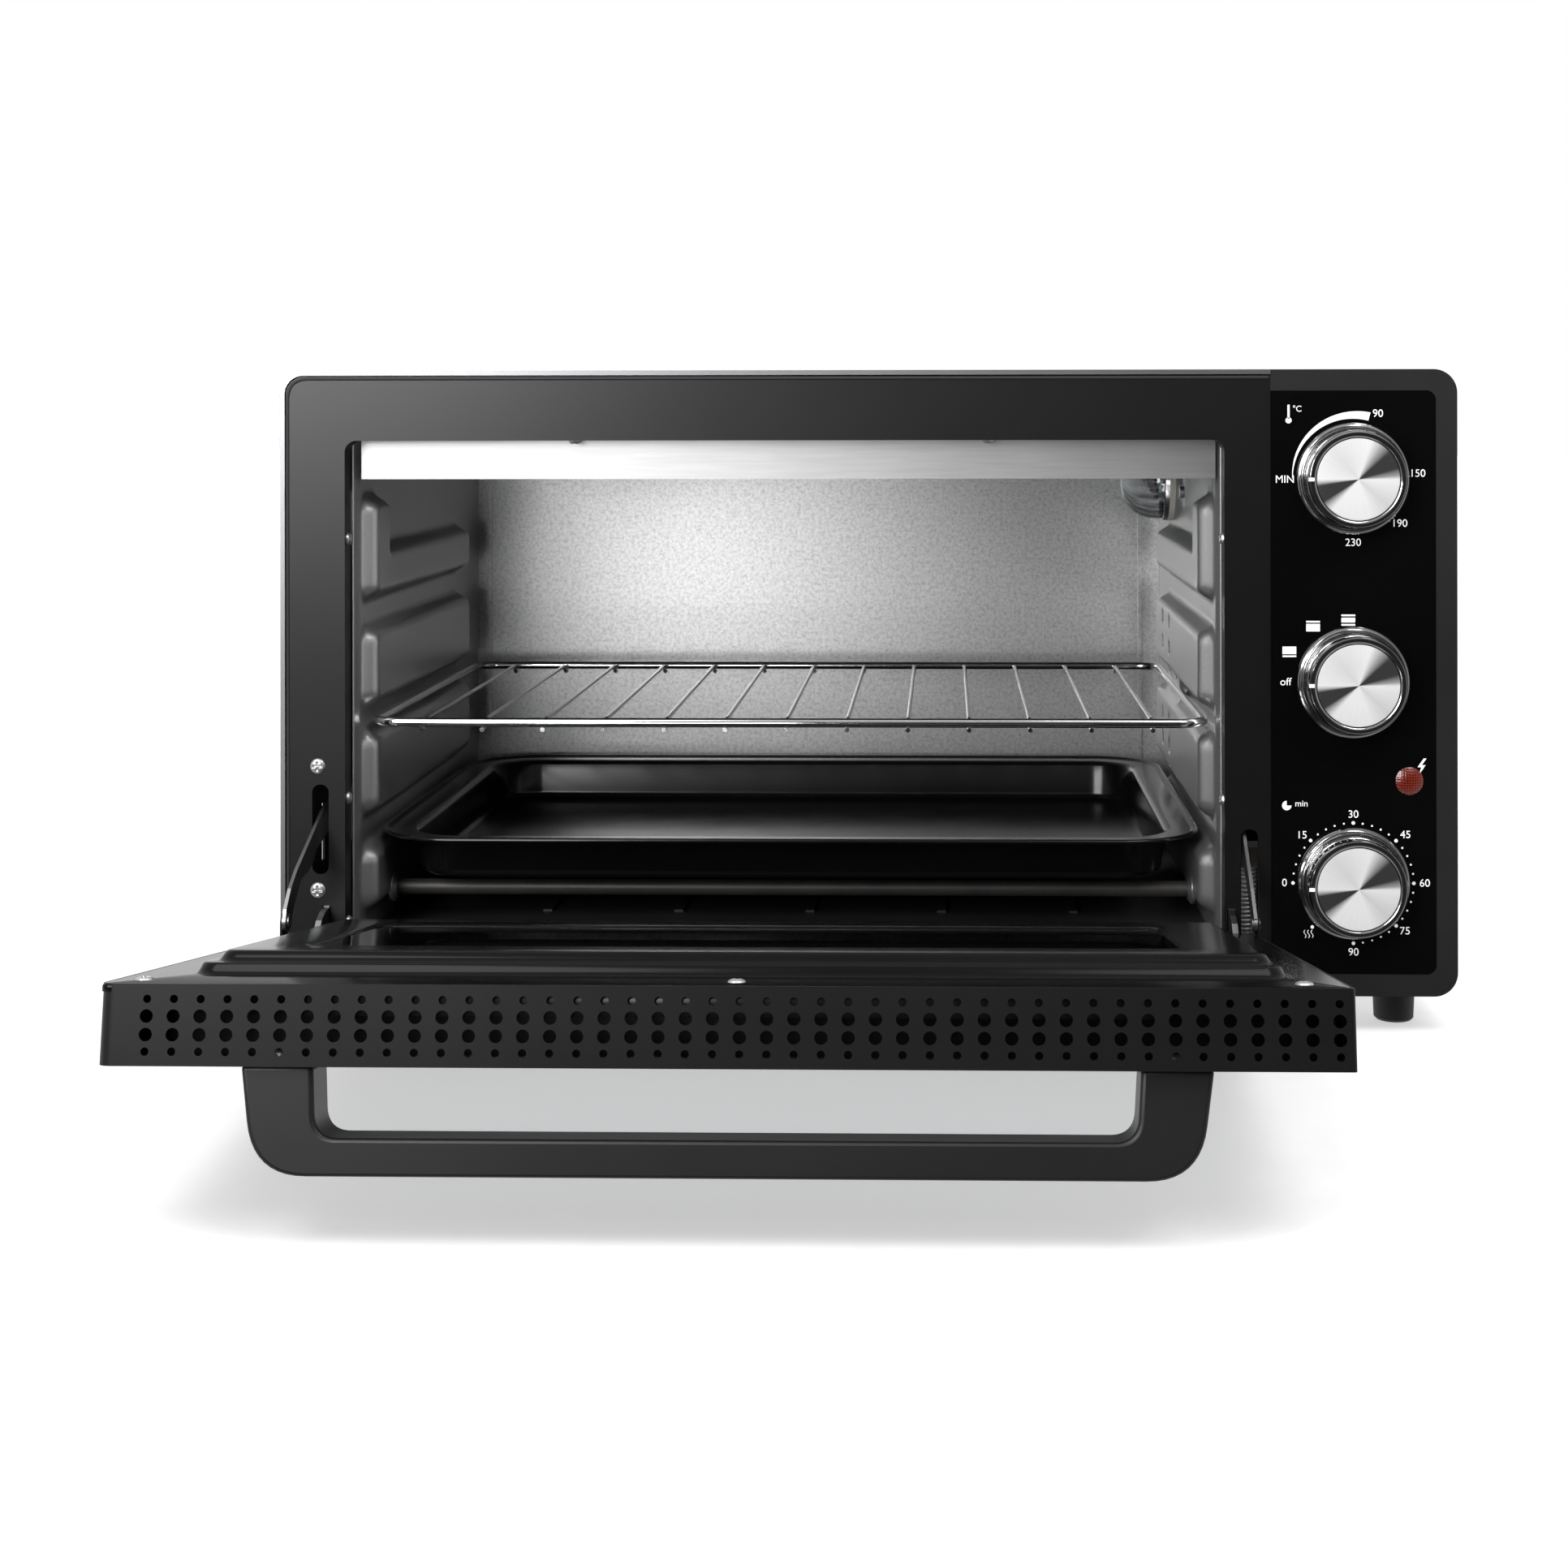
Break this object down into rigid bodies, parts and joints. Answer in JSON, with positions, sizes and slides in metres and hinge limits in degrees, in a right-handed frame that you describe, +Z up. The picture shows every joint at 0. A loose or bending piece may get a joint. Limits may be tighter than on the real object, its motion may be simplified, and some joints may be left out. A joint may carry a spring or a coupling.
{
  "type": "toaster oven",
  "caption": "Counter-top toaster oven with a drop-down door, wire rack, baking tray and a side control panel with dials, shown with the door open",
  "frame": {"origin": "middle of the bounding box's underside, with the door open, on the plane the feet stand on", "axes": "X to the right, Y to the back, Z up; the front faces -Y"},
  "size_m": [0.5, 0.5556, 0.281],
  "materials": {
    "cover_paint": "satin black powder coat, thin bright line on the folded front edge",
    "rear_paint": "matt dark grey",
    "zinc_plate": "plain zinc-plated sheet",
    "frame_paint": "satin black",
    "cavity_sheet": "aluminised sheet, fine grain, soft shine",
    "floor_sheet": "darkened aluminised sheet",
    "bright_sheet": "bright rolled sheet",
    "heater_tube": "matt oxidised steel tube",
    "ceramic": "cream glazed ceramic",
    "lamp_glass_clear": "thick pressed glass",
    "bulb_glass": "clear small lamp",
    "copper": "copper capillary bulb",
    "bezel_plastic": "fine satin black",
    "fascia_gloss": "glossy black with thin white markings",
    "control_body": "moulded switch body",
    "lens_red": "dark amber-red lens with a fine grid",
    "rubber_black": "matt black",
    "foot_plastic": "matt black",
    "spring_steel": "bright drawn wire",
    "screw_steel": "bright zinc",
    "door_paint": "satin black enamel",
    "window_glass": "clear oven glass over a dark gap",
    "handle_plastic": "matt black with a lighter worn edge",
    "arm_steel": "pressed steel, slightly dull",
    "knob_chrome": "chrome-plated plastic",
    "knob_spun": "radially spun metal disc",
    "shaft_steel": "turned steel",
    "rack_chrome": "bright chrome wire",
    "tray_enamel": "glossy black enamel"
  },
  "bodies": {
    "oven": {"outer_cover": "cover_paint", "back_cover": "rear_paint", "base_plate": "zinc_plate", "feet": "foot_plastic", "front_frame": "frame_paint", "cavity_left_wall": "cavity_sheet", "cavity_right_wall": "cavity_sheet", "cavity_back_wall": "cavity_sheet", "cavity_ceiling": "cavity_sheet", "cavity_floor": "floor_sheet", "top_deflector": "bright_sheet", "upper_heaters": "heater_tube", "lower_heaters": "heater_tube", "heater_insulators": "ceramic", "lamp_holder": "ceramic", "lamp_bulb": "bulb_glass", "lamp_glass": "lamp_glass_clear", "thermostat_probe": "copper", "probe_clip": "zinc_plate", "control_bezel": "bezel_plastic", "control_fascia": "fascia_gloss", "control_bracket": "zinc_plate", "thermostat_body": "control_body", "selector_body": "control_body", "timer_body": "zinc_plate", "timer_bell": "screw_steel", "indicator_lens": "lens_red", "indicator_body": "control_body", "terminal_block": "control_body", "cord_grommet": "rubber_black", "hinge_brackets": "arm_steel", "door_spring": "spring_steel", "frame_screws": "screw_steel", "rear_screws": "screw_steel"},
    "door": {"door_shell": "door_paint", "door_inner_panel": "door_paint", "door_inner_glass": "window_glass", "door_outer_glass": "window_glass", "glass_clips": "zinc_plate", "door_hinge_plates": "zinc_plate", "hinge_pins": "shaft_steel", "arm_lugs": "door_paint", "door_handle": "handle_plastic", "handle_screws": "screw_steel", "door_screws": "screw_steel"},
    "left_arm": {"left_arm": "arm_steel"},
    "right_arm": {"right_arm": "arm_steel"},
    "thermostat_dial": {"thermostat_knob": "knob_chrome", "thermostat_knob_face": "knob_spun", "thermostat_shaft": "shaft_steel"},
    "selector_dial": {"selector_knob": "knob_chrome", "selector_knob_face": "knob_spun", "selector_shaft": "shaft_steel"},
    "timer_dial": {"timer_knob": "knob_chrome", "timer_knob_face": "knob_spun", "timer_shaft": "shaft_steel"},
    "rack": {"rack_frame": "rack_chrome", "rack_wire_set": "rack_chrome"},
    "tray": {"baking_tray": "tray_enamel"}
  },
  "joints": [
    {"name": "door_hinge", "type": "hinge", "parent": "oven", "child": "door", "pos_m": [0, -0.04013, 0.034], "axis": [-1, 0, 0], "range_deg": [0, 81]},
    {"name": "left_arm_pivot", "type": "hinge", "parent": "door", "child": "left_arm", "pos_m": [-0.2334, -0.07523, 0.057], "axis": [-1, 0, 0], "range_deg": [-60, 0]},
    {"name": "right_arm_pivot", "type": "hinge", "parent": "door", "child": "right_arm", "pos_m": [0.1605, -0.05723, 0.053], "axis": [-1, 0, 0], "range_deg": [-45, 0], "deforming": ["door_spring"]},
    {"name": "thermostat_turn", "type": "hinge", "parent": "oven", "child": "thermostat_dial", "pos_m": [0.206, -0.02723, 0.2348], "axis": [0, 1, 0], "range_deg": [0, 270]},
    {"name": "selector_turn", "type": "hinge", "parent": "oven", "child": "selector_dial", "pos_m": [0.206, -0.02723, 0.1488], "axis": [0, 1, 0], "range_deg": [0, 90]},
    {"name": "timer_turn", "type": "hinge", "parent": "oven", "child": "timer_dial", "pos_m": [0.206, -0.02723, 0.0639], "axis": [0, 1, 0], "range_deg": [-45, 270]},
    {"name": "rack_slide", "type": "slide", "parent": "oven", "child": "rack", "axis": [0, 1, 0], "range_m": [-0.18, 0]},
    {"name": "tray_slide", "type": "slide", "parent": "oven", "child": "tray", "axis": [0, 1, 0], "range_m": [-0.075, 0]}
  ],
  "couplings": [
    {"joint": "left_arm_pivot", "follows": "door_hinge", "ratio": -0.6914},
    {"joint": "right_arm_pivot", "follows": "door_hinge", "ratio": -0.5062}
  ]
}
